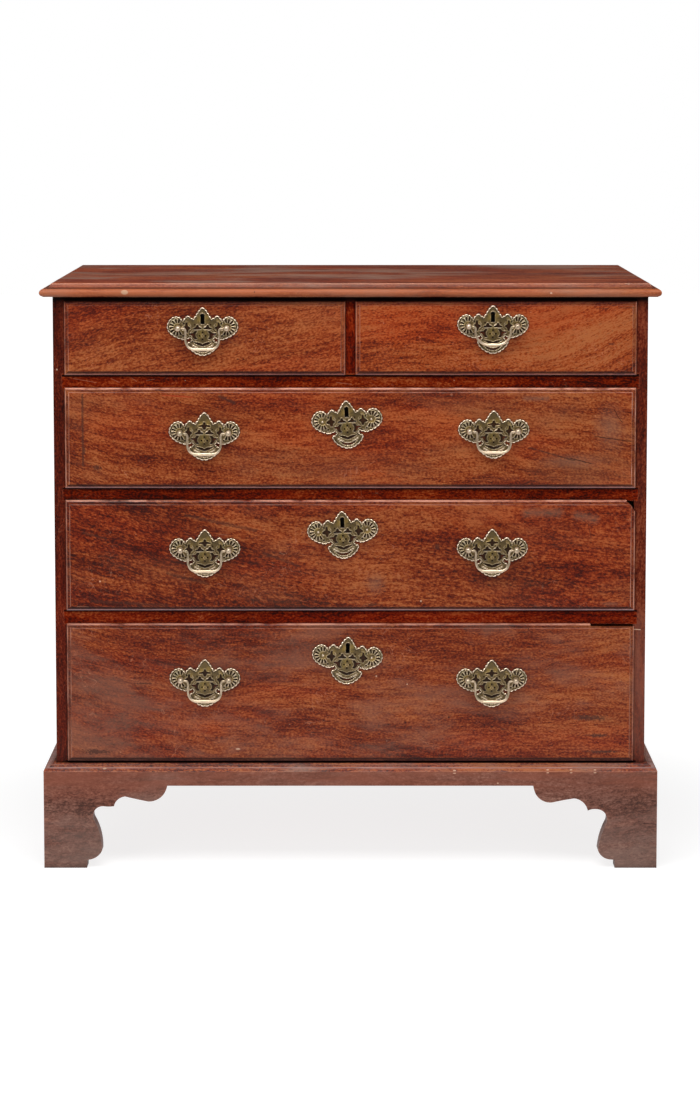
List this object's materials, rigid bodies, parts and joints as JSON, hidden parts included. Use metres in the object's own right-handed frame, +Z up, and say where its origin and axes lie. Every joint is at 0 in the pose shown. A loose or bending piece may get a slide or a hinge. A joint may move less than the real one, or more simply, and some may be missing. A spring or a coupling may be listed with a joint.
{
  "type": "chest of drawers",
  "caption": "Flat-fronted mahogany chest with lipped drawers, pierced brass bail handles and shaped bracket feet.",
  "frame": {"origin": "on the floor, below the middle of the overall box", "axes": "+X to the right as the front is faced, the front faces -Y, +Z up"},
  "size_m": [0.974, 0.4818, 0.9315],
  "materials": {
    "front_mahogany": "old wax polish over figured mahogany, streaked and scratched",
    "case_mahogany": "dark polished mahogany",
    "top_mahogany": "faded polished mahogany, worn along the moulding",
    "plinth_mahogany": "dull worn mahogany",
    "drawer_oak": "dry unpolished oak",
    "inner_pine": "dry unpolished pine, browned with age",
    "handle_brass": "cast brass, dull in the hollows and rubbed bright on the rims",
    "lock_iron": "dark dull iron"
  },
  "bodies": {
    "carcase": {"base_moulding": "plinth_mahogany", "plinth_front": "plinth_mahogany", "plinth_left_side": "plinth_mahogany", "plinth_right_side": "plinth_mahogany", "rear_feet": "inner_pine", "glue_blocks": "inner_pine", "top_board": "top_mahogany", "left_side": "case_mahogany", "right_side": "case_mahogany", "bottom_board": "inner_pine", "back_boards": "inner_pine", "top_rail": "case_mahogany", "drawer_rails": "case_mahogany", "dustboards": "inner_pine", "short_drawer_divider": "case_mahogany", "short_drawer_partition": "inner_pine"},
    "short_left_drawer": {"short_left_front": "front_mahogany", "short_left_box": "drawer_oak", "short_left_bottom": "drawer_oak", "short_left_lock_case": "lock_iron", "short_left_brass_plates": "handle_brass", "short_left_handle_posts": "handle_brass"},
    "short_left_lock_bolt": {"short_left_lock_bolt": "lock_iron"},
    "short_left_bail": {"short_left_bail": "handle_brass"},
    "short_right_drawer": {"short_right_front": "front_mahogany", "short_right_box": "drawer_oak", "short_right_bottom": "drawer_oak", "short_right_lock_case": "lock_iron", "short_right_brass_plates": "handle_brass", "short_right_handle_posts": "handle_brass"},
    "short_right_lock_bolt": {"short_right_lock_bolt": "lock_iron"},
    "short_right_bail": {"short_right_bail": "handle_brass"},
    "upper_long_drawer": {"upper_long_front": "front_mahogany", "upper_long_box": "drawer_oak", "upper_long_bottom": "drawer_oak", "upper_long_lock_case": "lock_iron", "upper_long_brass_plates": "handle_brass", "upper_long_handle_posts": "handle_brass"},
    "upper_long_lock_bolt": {"upper_long_lock_bolt": "lock_iron"},
    "upper_long_left_bail": {"upper_long_left_bail": "handle_brass"},
    "upper_long_right_bail": {"upper_long_right_bail": "handle_brass"},
    "middle_long_drawer": {"middle_long_front": "front_mahogany", "middle_long_box": "drawer_oak", "middle_long_bottom": "drawer_oak", "middle_long_lock_case": "lock_iron", "middle_long_brass_plates": "handle_brass", "middle_long_handle_posts": "handle_brass"},
    "middle_long_lock_bolt": {"middle_long_lock_bolt": "lock_iron"},
    "middle_long_left_bail": {"middle_long_left_bail": "handle_brass"},
    "middle_long_right_bail": {"middle_long_right_bail": "handle_brass"},
    "lower_long_drawer": {"lower_long_front": "front_mahogany", "lower_long_box": "drawer_oak", "lower_long_bottom": "drawer_oak", "lower_long_lock_case": "lock_iron", "lower_long_brass_plates": "handle_brass", "lower_long_handle_posts": "handle_brass"},
    "lower_long_lock_bolt": {"lower_long_lock_bolt": "lock_iron"},
    "lower_long_left_bail": {"lower_long_left_bail": "handle_brass"},
    "lower_long_right_bail": {"lower_long_right_bail": "handle_brass"}
  },
  "joints": [
    {"name": "short_left_drawer_slide", "type": "slide", "parent": "carcase", "child": "short_left_drawer", "axis": [0, -1, 0], "range_m": [0, 0.36]},
    {"name": "short_left_bolt_slide", "type": "slide", "parent": "short_left_drawer", "child": "short_left_lock_bolt", "axis": [0, 0, 1], "range_m": [0, 0.0075]},
    {"name": "short_left_bail_swing", "type": "hinge", "parent": "short_left_drawer", "child": "short_left_bail", "pos_m": [-0.232, -0.2362, 0.8611], "axis": [-1, 0, 0], "range_deg": [-8, 188]},
    {"name": "short_right_drawer_slide", "type": "slide", "parent": "carcase", "child": "short_right_drawer", "axis": [0, -1, 0], "range_m": [0, 0.36]},
    {"name": "short_right_bolt_slide", "type": "slide", "parent": "short_right_drawer", "child": "short_right_lock_bolt", "axis": [0, 0, 1], "range_m": [0, 0.0075]},
    {"name": "short_right_bail_swing", "type": "hinge", "parent": "short_right_drawer", "child": "short_right_bail", "pos_m": [0.2235, -0.2362, 0.8643], "axis": [-1, 0, 0], "range_deg": [-8, 188]},
    {"name": "upper_long_drawer_slide", "type": "slide", "parent": "carcase", "child": "upper_long_drawer", "axis": [0, -1, 0], "range_m": [0, 0.38]},
    {"name": "upper_long_bolt_slide", "type": "slide", "parent": "upper_long_drawer", "child": "upper_long_lock_bolt", "axis": [0, 0, 1], "range_m": [0, 0.0075]},
    {"name": "upper_long_left_bail_swing", "type": "hinge", "parent": "upper_long_drawer", "child": "upper_long_left_bail", "pos_m": [-0.23, -0.2362, 0.69555], "axis": [-1, 0, 0], "range_deg": [-8, 188]},
    {"name": "upper_long_right_bail_swing", "type": "hinge", "parent": "upper_long_drawer", "child": "upper_long_right_bail", "pos_m": [0.2255, -0.2362, 0.69845], "axis": [-1, 0, 0], "range_deg": [-8, 188]},
    {"name": "middle_long_drawer_slide", "type": "slide", "parent": "carcase", "child": "middle_long_drawer", "axis": [0, -1, 0], "range_m": [0, 0.38]},
    {"name": "middle_long_bolt_slide", "type": "slide", "parent": "middle_long_drawer", "child": "middle_long_lock_bolt", "axis": [0, 0, 1], "range_m": [0, 0.0075]},
    {"name": "middle_long_left_bail_swing", "type": "hinge", "parent": "middle_long_drawer", "child": "middle_long_left_bail", "pos_m": [-0.23, -0.2362, 0.5095], "axis": [-1, 0, 0], "range_deg": [-8, 188]},
    {"name": "middle_long_right_bail_swing", "type": "hinge", "parent": "middle_long_drawer", "child": "middle_long_right_bail", "pos_m": [0.224, -0.2362, 0.5102], "axis": [-1, 0, 0], "range_deg": [-8, 188]},
    {"name": "lower_long_drawer_slide", "type": "slide", "parent": "carcase", "child": "lower_long_drawer", "axis": [0, -1, 0], "range_m": [0, 0.38]},
    {"name": "lower_long_bolt_slide", "type": "slide", "parent": "lower_long_drawer", "child": "lower_long_lock_bolt", "axis": [0, 0, 1], "range_m": [0, 0.0075]},
    {"name": "lower_long_left_bail_swing", "type": "hinge", "parent": "lower_long_drawer", "child": "lower_long_left_bail", "pos_m": [-0.2308, -0.2362, 0.30155], "axis": [-1, 0, 0], "range_deg": [-8, 188]},
    {"name": "lower_long_right_bail_swing", "type": "hinge", "parent": "lower_long_drawer", "child": "lower_long_right_bail", "pos_m": [0.224, -0.2362, 0.30095], "axis": [-1, 0, 0], "range_deg": [-8, 188]}
  ]
}
